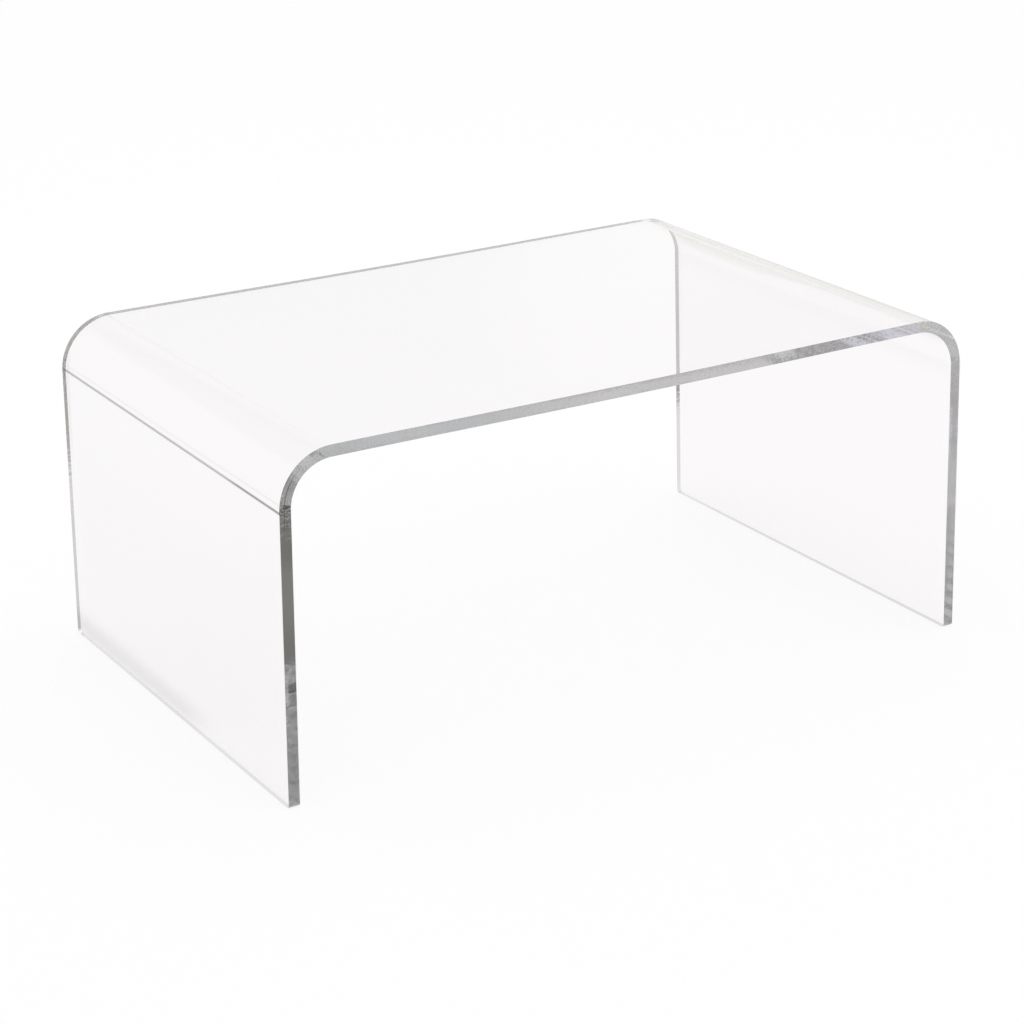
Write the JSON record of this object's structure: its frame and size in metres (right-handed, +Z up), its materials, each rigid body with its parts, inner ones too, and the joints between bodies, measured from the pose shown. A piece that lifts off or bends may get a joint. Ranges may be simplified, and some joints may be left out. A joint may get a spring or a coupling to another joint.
{
  "type": "waterfall coffee table",
  "caption": "Low rectangular table bent from a single clear acrylic sheet, with rounded waterfall ends that run down into flat panel legs, on small clear pads.",
  "frame": {"origin": "on the floor that the pads stand on, under the centre of the top", "axes": "+X along the length from the left leg to the right leg, +Y from the front edge to the back edge, +Z up"},
  "size_m": [0.864, 0.546, 0.38],
  "materials": {
    "clear_acrylic": "clear, polished faces and edges",
    "clear_pad": "clear soft plastic, slightly matt"
  },
  "bodies": {
    "root": {"bent_sheet": "clear_acrylic", "foot_pad_front_left": "clear_pad", "foot_pad_front_right": "clear_pad", "foot_pad_back_left": "clear_pad", "foot_pad_back_right": "clear_pad"}
  },
  "joints": []
}
